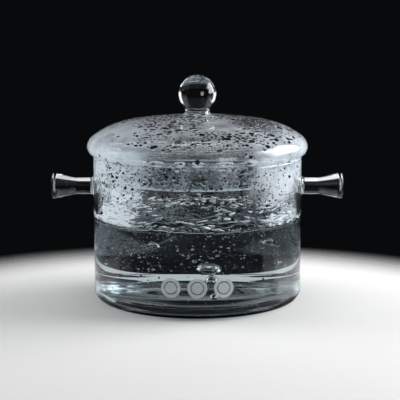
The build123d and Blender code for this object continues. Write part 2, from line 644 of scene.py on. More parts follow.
@dataclass(frozen=True)
class DropBand:
    """One range of drop sizes: radii, and how many places are tried."""

    smallest: float
    largest: float
    tries: int


@dataclass(frozen=True)
class Drop:
    """One drop on a steamed sheet: how far along the profile, round the axis, and its shape."""

    run: float
    bearing: float
    skew: float
    wide: float
    narrow: float


def calm(_: Vector) -> float:
    """No splash anywhere."""
    return 0.0


@dataclass
class SteamedSheet:
    """A turned inner surface with steam on it: drops of mixed sizes, and the film that they open."""

    prefix: str
    body: Body
    profile: list[Point]
    fog: Callable[[Vector], float]
    wet: Callable[[Vector], float]
    bands: tuple[DropBand, ...]
    seed: int
    segments: int
    rings: int
    splash: Callable[[Vector], float] = calm
    first_reach: float = 0.0
    dry_end: float = 0.0
    stretch: float = 1.35
    skew: float = 0.5
    plumpness: float = 0.5
    crowding: float = 0.9
    lift: float = 0.05 * MM
    # The halo is a painted highlight: the film is thickened round large drops, most along their lower edge.
    haloed: float = 0.8 * MM
    halo: float = 0.7 * MM
    halo_rings: tuple[float, ...] = (1.0, 1.5)
    halo_end: float = 1.05
    halo_side: Ramp = Ramp(-0.3, 0.9)
    hole_sides: int = 10
    runs: list[float] = field(init=False)

    def __post_init__(self) -> None:
        """Measure the profile."""
        self.runs = [0.0]
        for start, end in zip(self.profile, self.profile[1:]):
            self.runs.append(self.runs[-1] + math.dist(start, end))

    def section(self, run: float) -> tuple[float, float, float, float]:
        """Radius, height and direction of the profile at a run along it."""
        i = min(max(bisect.bisect_right(self.runs, run), 1), len(self.runs) - 1)
        (r0, z0), (r1, z1) = self.profile[i - 1], self.profile[i]
        length = self.runs[i] - self.runs[i - 1]
        share = (run - self.runs[i - 1]) / length
        return r0 + (r1 - r0) * share, z0 + (z1 - z0) * share, (r1 - r0) / length, (z1 - z0) / length

    def place(self, run: float, bearing: float) -> Vector:
        """The point at a run along the profile and a bearing round the axis."""
        radius, height, _, _ = self.section(run)
        return polar(radius, bearing, height)

    def settle(self) -> list[Drop]:
        """Find places for the drops, large ones first, so that few of them overlap."""
        dice = random.Random(self.seed)
        widest = max(radius for radius, _ in self.profile)
        cell = 2 * max(band.largest for band in self.bands)
        taken: dict[tuple[int, ...], list[tuple[Vector, float]]] = {}
        drops = []
        for band in self.bands:
            for _ in range(band.tries):
                run = dice.uniform(self.runs[1], self.runs[-1] - self.dry_end - band.largest)
                bearing = any_bearing(dice)
                spot = self.place(run, bearing)
                radius = band.smallest + (band.largest - band.smallest) * dice.random() ** 2
                stretch = dice.uniform(1.0, self.stretch)
                skew = dice.uniform(-self.skew, self.skew)
                if dice.random() > spot.xy.length / widest * self.wet(spot):
                    continue
                key = tuple(math.floor(part / cell) for part in spot)
                near = [other for step in itertools.product((-1, 0, 1), repeat=3)
                        for other in taken.get(tuple(k + s for k, s in zip(key, step)), ())]
                if any((spot - other).length < (radius + reach) * self.crowding for other, reach in near):
                    continue
                taken.setdefault(key, []).append((spot, radius))
                drops.append(Drop(run, bearing, skew, radius * stretch, radius / stretch))
        return drops

    def bead(self, drop: Drop) -> Bead:
        """Hang one drop on the inside of the sheet."""
        _, _, out, up = self.section(drop.run)
        cos, sin = math.cos(drop.bearing), math.sin(drop.bearing)
        round_axis = Vector((-sin, cos, 0))
        along = Vector((out * cos, out * sin, up))
        inward = round_axis.cross(along)
        wide = round_axis * math.cos(drop.skew) + along * math.sin(drop.skew)
        turn = Matrix((wide, inward.cross(wide), inward)).transposed().to_euler()
        half = Vector((drop.wide, drop.narrow, self.plumpness * drop.narrow))
        return Bead(self.place(drop.run, drop.bearing) + inward * self.lift, turn, half)

    def flat(self, run: float, bearing: float) -> Vector:
        """A point of the sheet laid flat: the profile's run becomes the distance from the axis, in mm."""
        return polar((self.first_reach + run) / MM, bearing, 0.0).to_2d()

    def outline(self, drop: Drop, margin: float = 0.0) -> list[Vector]:
        """Outline of one drop on the sheet laid flat, or a line that far outside it."""
        radius = self.section(drop.run)[0]
        cos, sin = math.cos(drop.skew), math.sin(drop.skew)
        outline = []
        for i in range(self.hole_sides):
            angle = math.tau * i / self.hole_sides
            across = (drop.wide + margin) * math.cos(angle)
            down = (drop.narrow + margin) * math.sin(angle)
            aside = across * cos - down * sin
            outline.append(self.flat(drop.run + across * sin + down * cos, drop.bearing + aside / radius))
        return outline

    def rim(self, drop: Drop, run: float, bearing: float) -> float:
        """Painted highlight beside a large drop: how much the film is thickened at a place there, most along
        the drop's lower edge, where light would catch its rim.
        """
        if drop.narrow < self.haloed:
            return 0.0
        aside = math.remainder(bearing - drop.bearing, math.tau) * self.section(drop.run)[0]
        along = run - drop.run
        cos, sin = math.cos(drop.skew), math.sin(drop.skew)
        across = (aside * cos + along * sin) / (drop.wide + self.halo)
        down = (along * cos - aside * sin) / (drop.narrow + self.halo)
        reach = math.hypot(across, down)
        return 0.0 if reach > self.halo_end else self.halo_side(down / reach)

    def lay_flat(self, drops: list[Drop], holes: list[list[Vector]]) -> tuple[list[Vector], list[list[int]]]:
        """Mesh the whole sheet laid flat.

        Args:
            drops: the drops on the sheet.
            holes: the outline of each drop, whose sides become edges of the mesh.

        Returns:
            The corners and the faces.
        """
        spots = []
        for i, run in enumerate(self.runs):
            sides = max(1, math.ceil(math.tau * (self.first_reach + run) / FILM_STEP))
            spots += [self.flat(run, math.tau * (j + i % 2 / 2) / sides) for j in range(sides)]
        edges = []
        for drop, hole in zip(drops, holes):
            first = len(spots)
            edges += [(first + i, first + (i + 1) % len(hole)) for i in range(len(hole))]
            spots += hole
            # Rings round large drops carry the painted rim highlight.
            if drop.narrow > self.haloed:
                for ring in self.halo_rings:
                    spots += self.outline(drop, ring * self.halo)
        laid, _, faces, _, _, _ = delaunay_2d_cdt(spots, edges, [], 0, SAME_SPOT, False)
        return laid, faces

    def film(self, drops: list[Drop]) -> Mesh:
        """Mesh the film between the drops, laid flat first and then turned into shape."""
        holes = [self.outline(drop) for drop in drops]
        laid, faces = self.lay_flat(drops, holes)
        centres = kdtree.KDTree(len(drops))
        for number, drop in enumerate(drops):
            centres.insert(self.flat(drop.run, drop.bearing).to_3d(), number)
        centres.balance()
        widest = max((hole[0] - hole[len(hole) // 2]).length for hole in holes)
        kept = []
        for face in faces:
            middle = sum((laid[corner] for corner in face), Vector((0, 0))) / len(face)
            near = centres.find_range(middle.to_3d(), widest)
            open_here = any(inside_outline(middle, holes[number]) for _, number, _ in near)
            if not open_here and middle.length * MM > self.first_reach:
                kept.append(face)
        used = {corner: i for i, corner in enumerate(sorted({corner for face in kept for corner in face}))}
        turned = []
        rim_highlights = []
        for corner in used:
            run = min(max(laid[corner].length * MM - self.first_reach, 0.0), self.runs[-1])
            bearing = math.atan2(laid[corner].y, laid[corner].x)
            turned.append(self.place(run, bearing))
            nearest = centres.find(laid[corner].to_3d())[1]
            rim_highlights.append(self.rim(drops[nearest], run, bearing))
        mesh = bpy.data.meshes.new(self.prefix + "_steam_film")
        mesh.from_pydata(turned, [], [[used[corner] for corner in face] for face in kept])
        mesh.shade_smooth()
        traces = {
            # The fog trace carries the steam and, round large drops, the painted rim highlight.
            Trace.FOG: [max(self.fog(spot), rim) for spot, rim in zip(turned, rim_highlights)],
            Trace.WET: [self.wet(spot) for spot in turned],
            Trace.SPLASH: [self.splash(spot) for spot in turned],
        }
        for trace, values in traces.items():
            layer = mesh.attributes.new(trace.value, "FLOAT", "POINT")
            layer.data.foreach_set("value", [min(1.0, max(0.0, value)) for value in values])
        return mesh

    def build(self, shop: Shop, finish: SteamFilm) -> None:
        """Make the drops and the film round them."""
        drops = self.settle()
        beads = [self.bead(drop) for drop in drops]
        seat(set_beads(self.prefix + "_drops", beads, shop, shop.water, self.segments, self.rings), self.body)
        mesh = self.film(drops)
        mesh.materials.append(finish.material(shop.grain))
        seat(new_piece(mesh.name, mesh), self.body)


@dataclass(frozen=True)
class Boil:
    """White water thrown at one side of the wall: how far out, how high and how thickly."""

    side: Ramp
    climb: Ramp
    strength: float


@dataclass
class Pan:
    """The glass pan: body, two handles, three marks, and the steam on its upper wall."""

    wall: float = 3.0 * MM
    film_dip: float = 1.0 * MM
    flat_reach: float = 55.0 * MM
    handle_ripples: float = 60.0
    water_level: float = 67.0 * MM
    steam_side: Ramp = Ramp(25 * MM, 66 * MM)
    steam_back: Ramp = Ramp(-10 * MM, 40 * MM)
    middle_climb: Ramp = Ramp(10 * MM, 32 * MM)
    side_climb: Ramp = Ramp(5 * MM, 28 * MM)
    steam_runs: Patches = Patches(Vector((130, 130, 14)), Ramp(0.3, 0.7))
    patch_scale: float = 40.0
    wash_foot: Ramp = Ramp(1 * MM, 5 * MM)
    wash_top: Ramp = Ramp(38 * MM, 18 * MM)
    wash_side: Ramp = Ramp(69 * MM, 72.5 * MM)
    left_boil: Boil = Boil(Ramp(30 * MM, 54 * MM), Ramp(28 * MM, 28 / 3 * MM), 1.0)
    right_boil: Boil = Boil(Ramp(34 * MM, 62 * MM), Ramp(18 * MM, 6 * MM), 0.75)
    wet_climb: Ramp = Ramp(4 * MM, 14 * MM)
    wet_patches: Patches = Patches(45.0, Ramp(0.3, 0.65))
    radius: float = field(init=False)
    height: float = field(init=False)

    def __post_init__(self) -> None:
        """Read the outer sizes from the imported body."""
        _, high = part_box("pan_body")
        self.radius = high.x
        self.height = high.z

    @property
    def bore(self) -> float:
        """Inner radius of the wall."""
        return self.radius - self.wall

    @property
    def rim_crest(self) -> float:
        """Radius of the rim's highest ring."""
        return self.radius - self.wall / 2

    def dress(self, shop: Shop) -> None:
        """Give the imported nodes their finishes."""
        wear("pan_body", ClearGlass("pan_glass").material(shop.polish))
        handle = ClearGlass("handle_glass", ripple_scale=self.handle_ripples).material(shop.polish)
        for side, inwards in (("left_handle", 1.0), ("right_handle", -1.0)):
            wear(side, handle)
            shop.fuse(side, (inwards, 0.0, 0.0))
        enamel = FrostedEnamel().material(self.radius)
        for side in ("left_mark", "centre_mark", "right_mark"):
            wear(side, enamel)

    def fog(self, spot: Vector) -> float:
        """How thick the steam is at a place on the wall."""
        side = self.steam_side(abs(spot.x))
        back = self.steam_back(spot.y) * (1 - side)
        patch = noise.noise(spot * self.patch_scale)
        steam = 0.08 + 0.75 * side + 0.22 * self.steam_runs(spot) + 0.2 * patch
        start = self.middle_climb.low + (self.side_climb.low - self.middle_climb.low) * side
        end = self.middle_climb.high + (self.side_climb.high - self.middle_climb.high) * side
        rise = Ramp(start, end)(spot.z - self.water_level)
        return rise * steam * (1 - 0.6 * back) * (1 - self.wiped(spot))

    def wiped(self, spot: Vector) -> float:
        """How clean the boil has washed a place at the far left or right of the wall."""
        climb = spot.z - self.water_level
        return 0.95 * self.wash_foot(climb) * self.wash_top(climb) * self.wash_side(abs(spot.x))

    def splash(self, spot: Vector) -> float:
        """How much white water the boil throws at a place on the wall, most at the left."""
        boil = self.left_boil if spot.x < 0 else self.right_boil
        thrown = boil.side(abs(spot.x)) * boil.climb(spot.z - self.water_level) * boil.strength
        return thrown * (1 - self.wiped(spot))

    def wet(self, spot: Vector) -> float:
        """How thickly drops sit at a place on the wall."""
        return self.wet_climb(spot.z - self.water_level) * (0.25 + 0.75 * self.wet_patches(spot))

    def build_steam(self, shop: Shop) -> None:
        """Make the steam film and the drops on the inside of the upper wall."""
        rim = arc((self.rim_crest, self.height - self.wall / 2), self.wall / 2 - FILM_DEPTH, 0, 180, 8)
        foot = (self.bore + FILM_DEPTH, self.water_level - self.film_dip)
        SteamedSheet(
            prefix="pan", body=Body.PAN, profile=even([*rim, foot], FILM_STEP), seed=11,
            fog=self.fog, wet=self.wet, splash=self.splash,
            bands=(DropBand(0.8 * MM, 1.6 * MM, 600), DropBand(0.4 * MM, 0.8 * MM, 7000)),
            first_reach=self.flat_reach, haloed=math.inf, segments=8, rings=4, hole_sides=8,
        ).build(shop, SteamFilm("pan_steam"))


@dataclass
class Lid:
    """The glass lid: blown shell, ball knob, and the steam inside it."""

    pan: Pan
    wall: float = 2.8 * MM
    crown_radius: float = 340.0 * MM
    shoulder_width: float = 30.7 * MM
    edge_radius: float = 9.5 * MM
    skirt_clearance: float = 1.4 * MM
    seat_clearance: float = 0.3 * MM
    lip_line: float = 0.5 * MM
    knob_ripples: float = 60.0
    knob_ripple: float = 0.01
    patch_scale: float = 28.0
    cloud_scale: float = 75.0
    cloud_shift: Place = (5.0, 2.0, 8.0)
    fog_left: Ramp = Ramp(-12 * MM, -80 * MM)
    left_drift: float = 12 * MM
    fog_side: Ramp = Ramp(30 * MM, 84 * MM)
    side_drift: float = 18 * MM
    fog_front: Ramp = Ramp(-10 * MM, -48 * MM)
    fog_back: Ramp = Ramp(-28 * MM, 28 * MM)
    fog_roll: Ramp = Ramp(9 * MM, 0.0)
    fog_crown: Ramp = Ramp(0.5, 0.25)
    ring_inside: Ramp = Ramp(0.2, 0.4)
    ring_outside: Ramp = Ramp(0.88, 0.7)
    cleared: Oval = Oval((44 * MM, -14 * MM), (26 * MM, 38 * MM))
    skirt_gap: float = 42 * MM
    skirt_opened: Ramp = Ramp(16 * MM, 6 * MM)
    wet_patches: Patches = Patches(30.0, Ramp(0.24, 0.5), (3.0, 1.0, 2.0))
    wet_left: Ramp = Ramp(-72 * MM, -34 * MM)
    wet_right: Ramp = Ramp(52 * MM, 72 * MM)
    wet_crown: Ramp = Ramp(0.6, 0.25)
    wet_end: Ramp = Ramp(0.98, 0.85)
    gutter_seed: int = 23
    gutter_place: Point = (0.3 * MM, -2.7 * MM)
    gutter_length: Point = (3.0 * MM, 8.0 * MM)
    gutter_width: Point = (1.2 * MM, 1.6 * MM)
    gutter_height: Point = (1.1 * MM, 1.5 * MM)
    gutter_gap: Point = (0.5 * MM, 9.0 * MM)
    radius: float = field(init=False)
    top: float = field(init=False)
    bottom: float = field(init=False)

    def __post_init__(self) -> None:
        """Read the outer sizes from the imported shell."""
        low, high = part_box("lid_shell")
        self.radius = high.x
        self.top = high.z
        self.bottom = low.z

    @property
    def widest(self) -> float:
        """Height of the lid's widest ring."""
        return self.pan.height + self.seat_clearance + self.radius - self.pan.rim_crest

    def dress(self, shop: Shop) -> None:
        """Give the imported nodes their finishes."""
        wear("lid_shell", ClearGlass("lid_glass").material(shop.polish))
        knob = ClearGlass("knob_glass", ripple_scale=self.knob_ripples, ripple=self.knob_ripple)
        wear("lid_knob", knob.material(shop.polish))
        shop.fuse("lid_knob", (0.0, 0.0, -1.0))

    def inside(self, inset: float) -> list[Point]:
        """The lid's half section, from the middle of the dome round the skirt's lower lip.

        Args:
            inset: how far the section lies inside the outer surface.

        Returns:
            Points of the crown, shoulder, edge, roll, turn, skirt and lip.
        """
        crest = self.pan.rim_crest
        skirt = self.pan.bore - self.skirt_clearance
        slope = math.asin((self.radius - self.shoulder_width) / self.crown_radius)
        outward = Vector((math.sin(slope), math.cos(slope)))
        crown = Vector((0, self.top - self.crown_radius))
        edge = Vector((self.radius - self.edge_radius, self.widest))
        crown_end = crown + outward * self.crown_radius
        span = crown_end - edge
        shoulder_radius = (span.dot(span) - self.edge_radius**2) / (span.dot(outward) - self.edge_radius) / 2
        shoulder = crown_end - outward * shoulder_radius
        crown_angle = 90 - math.degrees(slope)
        edge_angle = math.degrees(math.atan2(edge.y - shoulder.y, edge.x - shoulder.x))
        turn = crest - skirt
        turn_height = self.pan.height + self.seat_clearance - turn
        lip = self.wall / 2
        return [
            *arc(crown, self.crown_radius - inset, 90, crown_angle - 90, 18),
            *arc(shoulder, shoulder_radius - inset, crown_angle, edge_angle - crown_angle, 14)[1:],
            *arc(edge, self.edge_radius - inset, edge_angle, -edge_angle, 10)[1:],
            *arc((crest, self.widest), self.radius - crest - inset, 0, -90, 10)[1:],
            *arc((crest, turn_height), turn + inset, 90, 90, 10)[1:],
            (skirt - inset, self.bottom + lip + self.lip_line),
            *arc((skirt - lip, self.bottom + lip), inset - lip, 180, 180, 8),
        ]

    def fog(self, spot: Vector) -> float:
        """How thick the steam is at a place inside the lid."""
        # Along the skirt's lower lip the film is full: water gathers there, and the full film is partly a
        # painted highlight, a bright line along the edge.
        if spot.z < self.bottom + self.wall / 2 + self.lip_line / 2:
            return 1.0
        patch = noise.noise(spot * self.patch_scale)
        cloud = noise.noise(spot * self.cloud_scale + Vector(self.cloud_shift))
        side = self.fog_side(abs(spot.x) + self.side_drift * patch)
        if spot.z < self.pan.height:
            opened = self.skirt_opened(abs(spot.x - self.skirt_gap))
            return 0.14 + 0.6 * side + 0.2 * patch + 0.12 * cloud - 0.2 * opened
        reach = spot.xy.length / self.radius
        ring = self.ring_inside(reach) * self.ring_outside(reach)
        far = max(self.fog_left(spot.x + self.left_drift * patch), side)
        front = self.fog_front(spot.y) * (1 - far)
        back = self.fog_back(spot.y)
        rolled = self.fog_roll(spot.z - self.widest) * (1 - 0.5 * far)
        thick = 0.28 + 0.14 * ring + 0.22 * front + 0.6 * far + 0.22 * patch + 0.1 * cloud - 0.36 * rolled
        crown = 0.6 * self.fog_crown(reach) * (1 - 0.6 * back)
        return thick * (1 - 0.7 * back) * (1 - 0.8 * self.cleared(spot)) + crown

    def wet(self, spot: Vector) -> float:
        """How thickly drops sit at a place inside the lid."""
        reach = spot.xy.length / self.radius
        right = self.wet_left(spot.x) * (1 - 0.6 * self.wet_right(spot.x))
        ring = self.wet_end(reach) * (1 + 1.2 * self.wet_crown(reach))
        return (0.12 + 0.88 * right) * self.wet_patches(spot) * ring

    def build_steam(self, shop: Shop) -> None:
        """Make the steam film and the drops inside the lid."""
        SteamedSheet(
            prefix="lid", body=Body.LID, seed=5, dry_end=2 * self.wall, segments=8, rings=5,
            profile=even(self.inside(self.wall - FILM_DEPTH), FILM_STEP),
            fog=self.fog, wet=self.wet,
            bands=(DropBand(1.5 * MM, 2.9 * MM, 900), DropBand(0.9 * MM, 1.5 * MM, 3600),
                   DropBand(0.5 * MM, 0.9 * MM, 5000)),
        ).build(shop, SteamFilm("lid_steam"))

    def build_gutter(self, shop: Shop) -> None:
        """Lay the beads of water that gather in the rolled edge, made pale as a painted highlight for the
        light they catch.
        """
        dice = random.Random(self.gutter_seed)
        crest = self.pan.rim_crest
        out, up = self.gutter_place
        beads = []
        bearing = 0.0
        while bearing < math.tau:
            length = dice.uniform(*self.gutter_length)
            bearing += length / crest
            place = polar(crest + out, bearing, self.widest + up)
            half = Vector((length, dice.uniform(*self.gutter_width), dice.uniform(*self.gutter_height)))
            beads.append(Bead(place, Euler((0, 0, bearing + math.pi / 2)), half))
            bearing += (length + dice.uniform(*self.gutter_gap)) / crest
        # Painted highlight: the gutter beads are milky white in place of the light caught at their ends.
        water = MilkyWater("gutter_water_painted_bright").material()
        piece = set_beads("lid_gutter_beads", beads, shop, water, segments=14, rings=8, floor=WHOLE_BALL)
        seat(piece, Body.LID)


@dataclass(frozen=True)
class Wave:
    """One size of wave on the water: waves to a metre, which layer of the noise it is, and its height."""

    scale: float
    layer: float
    height: float

    def __call__(self, spot: Vector) -> float:
        """How far the wave lifts the water at a place."""
        return self.height * noise.noise(Vector((spot.x * self.scale, spot.y * self.scale, self.layer)))


@dataclass
class SimmeringWater:
    """The water that the pan is shown with: contents, not a piece of the object."""

    pan: Pan
    base: float = 4.0 * MM
    corner: float = 6.0 * MM
    overlap: float = 0.05 * MM
    top_step: float = 1.3 * MM
    wall_step: float = 4.0 * MM
    segments: int = 260
    level_slack: float = 0.01 * MM
    shade: Colour = (0.22, 0.24, 0.25, 1.0)
    tint: Colour = (0.95, 0.985, 1.0, 1.0)
    open_tint: Colour = (0.94, 0.965, 0.985, 1.0)
    swell: Wave = Wave(30.0, 0.3, 2.0 * MM)
    chop: Wave = Wave(85.0, 4.1, 1.9 * MM)
    ripple: Wave = Wave(210.0, 9.7, 0.7 * MM)
    lapping: Wave = Wave(210.0, 9.7, 1.5 * MM)
    shore: Ramp = Ramp(-9 * MM, 0.0)
    bubbles: int = 700
    bubble_seed: int = 8
    bubble_sizes: Spread = Spread(0.18 * MM, 0.9 * MM, 5)
    bubble_heights: Spread = Spread(7 * MM, 55 * MM, 0.6)
    bubble_tilt: Place = (0.2, 0.1, 0.0)
    large_bubbles: tuple[tuple[Place, Point], ...] = (
        ((7.5, -40, 33), (8.5, 4.0)),
        ((9.5, -42, 24), (4.0, 4.5)),
        ((11, -44, 12), (2.6, 3.2)),
        ((-30, -52, 52), (4.6, 2.6)),
        ((50, -44, 53), (5.0, 2.8)),
        ((-2, -50, 40), (1.6, 1.4)),
    )
    foam_seed: int = 17
    flakes: int = 2060
    flake_sizes: Spread = Spread(0.35 * MM, 1.5 * MM, 3)
    flake_shape: Place = (2.2, 0.8, 0.35)
    flake_turn: Place = (0.5, 0.35, 0.7)
    flake_lift: float = 0.6
    flakes_left: Ramp = Ramp(40 * MM, 70 * MM)
    flakes_right: Ramp = Ramp(45 * MM, 70 * MM)
    flake_patches: Patches = Patches(60.0, Ramp(0.35, 0.7))
    crest: Oval = Oval((6 * MM, -2 * MM), (26 * MM, 30 * MM))
    froth: int = 500
    froth_sizes: Spread = Spread(0.2 * MM, 0.5 * MM, 2)
    froth_widths: Spread = Spread(0.0, 3 * MM, 2)
    froth_lift: Point = (-2.0 * MM, 0.5 * MM)
    froth_patches: Patches = Patches(120.0, Ramp(0.35, 0.75))
    fizz_glints: int = 500
    fizz_glint_sizes: Spread = Spread(0.17 * MM, 0.3 * MM, 3)
    fizz_glint_depths: Spread = Spread(3 * MM, 57 * MM, 1.6)
    fizz_glint_left: Ramp = Ramp(-15 * MM, -35 * MM)
    fizz_glint_patches: Patches = Patches(45.0, Ramp(0.35, 0.7))

    def surface(self, spot: Vector) -> float:
        """How far the boiling surface lies above its level."""
        lap = self.shore(spot.xy.length - self.pan.bore)
        return self.swell(spot) + self.chop(spot) + self.ripple(spot) + lap * self.lapping(spot)

    def build(self, shop: Shop) -> None:
        """Fill the pan."""
        radius = self.pan.bore + self.overlap
        level = self.pan.water_level
        floor = self.base - self.overlap
        corner = self.corner + self.overlap
        profile = [
            *even([(0.0, level), (radius, level)], self.top_step),
            *even([(radius, level), (radius, floor + corner)], self.wall_step)[1:],
            *arc((radius - corner, floor + corner), corner, 0, -90, 8)[1:],
            (0.0, floor),
        ]
        mesh = lathe("simmering_water", profile, self.segments)
        open_water = ClearGlass("boiling_water", self.open_tint, self.shade, WATER_IOR).material()
        mesh.materials.append(open_water)
        mesh.materials.append(self.wetted_glass())
        for face in mesh.polygons:
            face.material_index = 0 if face.center.z > level - self.level_slack else 1
        for vertex in mesh.vertices:
            if vertex.co.z > level - self.level_slack:
                vertex.co.z += self.surface(vertex.co)
        new_piece("simmering_water", mesh)
        self.build_bubbles(shop, open_water)
        self.build_foam(shop)

    def wetted_glass(self) -> Material:
        """Where water touches glass it bends light and mirrors none of it."""
        material, graph = new_material("wetted_glass")
        bend = {"Color": self.tint, "IOR": WATER_IOR, "Roughness": 0.0}
        let_through(graph, graph.out("ShaderNodeBsdfRefraction", bend), self.shade)
        return material

    def reach(self, dice: random.Random, gap: float, power: float) -> float:
        """Pick a distance from the axis, up to a gap inside the wall and crowded there by a low power."""
        return Spread(0.0, self.pan.bore - gap, power).draw(dice)

    def bubble(self, dice: random.Random) -> Bead:
        """Draw one steam bubble, more of them high up and near the wall."""
        radius = self.bubble_sizes.draw(dice)
        reach = self.reach(dice, gap=2 * MM, power=0.35)
        bearing = any_bearing(dice)
        return ball(polar(reach, bearing, self.bubble_heights.draw(dice)), radius, flatness=0.9)

    def build_bubbles(self, shop: Shop, finish: Material) -> Object:
        """Scatter steam bubbles through the water, as hollows in it."""
        dice = random.Random(self.bubble_seed)
        beads = [self.bubble(dice) for _ in range(self.bubbles)]
        for place, (wide, tall) in self.large_bubbles:
            half = Vector((wide, wide, tall)) * MM
            beads.append(Bead(Vector(place) * MM, Euler(self.bubble_tilt), half))
        piece = set_beads("steam_bubbles", beads, shop, finish, segments=14, rings=8, floor=WHOLE_BALL)
        piece.data.flip_normals()
        return piece

    def foam_flake(self, dice: random.Random) -> Bead | None:
        """Draw one flake of foam, kept at both sides and in the middle: partly foam thrown by the boil,
        partly painted highlight of the glare on the waves.
        """
        reach = self.reach(dice, gap=1 * MM, power=0.25)
        place = polar(reach, any_bearing(dice), self.pan.water_level)
        side = (self.flakes_left if place.x < 0 else self.flakes_right)(abs(place.x))
        if dice.random() > (0.06 + side + 0.7 * self.crest(place)) * self.flake_patches(place):
            return None
        radius = self.flake_sizes.draw(dice)
        place.z += self.surface(place) + dice.uniform(0.0, self.flake_lift) * radius
        turn = Euler([dice.uniform(-most, most) for most in self.flake_turn])
        return Bead(place, turn, radius * Vector(self.flake_shape))

    def froth_bead(self, dice: random.Random) -> Bead | None:
        """Draw one bead of froth along the wall."""
        radius = self.froth_sizes.draw(dice)
        reach = self.pan.bore - radius - self.froth_widths.draw(dice)
        place = polar(reach, any_bearing(dice), self.pan.water_level)
        if dice.random() > self.froth_patches(place):
            return None
        place.z += self.surface(place) + dice.uniform(*self.froth_lift)
        return ball(place, radius)

    def fizz_glint_bead(self, dice: random.Random) -> Bead | None:
        """Draw one fine white bead below the surface, a painted glint of a tiny bubble, most of them high up
        and at the left.
        """
        radius = self.fizz_glint_sizes.draw(dice)
        reach = self.reach(dice, gap=1 * MM, power=0.3)
        bearing = any_bearing(dice)
        place = polar(reach, bearing, self.pan.water_level - self.fizz_glint_depths.draw(dice))
        if dice.random() > self.fizz_glint_patches(place, bias=0.25 * self.fizz_glint_left(place.x)):
            return None
        return ball(place, radius)

    def build_foam(self, shop: Shop) -> Object:
        """Gather foam at the two sides of the pan and along the wall, and painted bubble glints below the
        surface; the side foam is partly painted glare.
        """
        dice = random.Random(self.foam_seed)
        beads: list[Bead] = []
        for count, draw in ((self.flakes, self.foam_flake), (self.froth, self.froth_bead),
                            (self.fizz_glints, self.fizz_glint_bead)):
            wanted = len(beads) + count
            while len(beads) < wanted:
                bead = draw(dice)
                if bead is not None:
                    beads.append(bead)
        milk = MilkyWater("foam", clearness=0.15).material()
        return set_beads("foam", beads, shop, milk, segments=8, rings=5, floor=WHOLE_BALL)


@dataclass(frozen=True)
class Softbox:
    """One soft square lamp, aimed at a point and brightest in its middle."""

    name: str
    place: Place
    size: Point
    power: float
    aim: Place = (0.0, 0.0, 0.12)
    glint: Glint = Glint.THROUGH
    soft_edge: float = 0.5
    streaks: float = 0.0
    streak_length: float = 3.0

    def hang(self) -> None:
        """Put the lamp into the scene."""
        lamp = bpy.data.lights.new(self.name, "AREA")
        lamp.shape = "RECTANGLE"
        lamp.size, lamp.size_y = self.size
        lamp.energy = self.power
        lamp.use_nodes = True
        self.soften(Graph(lamp.node_tree))
        holder = bpy.data.objects.new(self.name, lamp)
        holder.location = self.place
        holder.rotation_euler = (Vector(self.aim) - Vector(self.place)).to_track_quat("-Z", "Y").to_euler()
        holder.visible_camera = False
        holder.visible_glossy = self.glint is Glint.MIRRORED
        holder.visible_transmission = self.glint is Glint.THROUGH
        bpy.context.scene.collection.objects.link(holder)

    def soften(self, graph: Graph) -> None:
        """Let the lamp's light fall off towards its edges."""
        face = graph.node("ShaderNodeNewGeometry").outputs["Parametric"]
        across = graph.axes(face)
        glow = 1.0
        if self.streaks:
            drawn = graph.vector("MULTIPLY", face, (self.streak_length, self.streaks, 0.0)).outputs[0]
            glow = graph.ramp(graph.noise(drawn, scale=1.0, detail=3.0), low=0.42, high=0.62, start=0.05)
        for axis in ("X", "Y"):
            offset = graph.away(across[axis], 0.5)
            glow = graph.math("MULTIPLY", graph.ramp(offset, 0.5, 0.5 - self.soft_edge / 2), glow)
        light = graph.out("ShaderNodeEmission", {"Strength": glow})
        graph.node("ShaderNodeOutputLight", {"Surface": light})


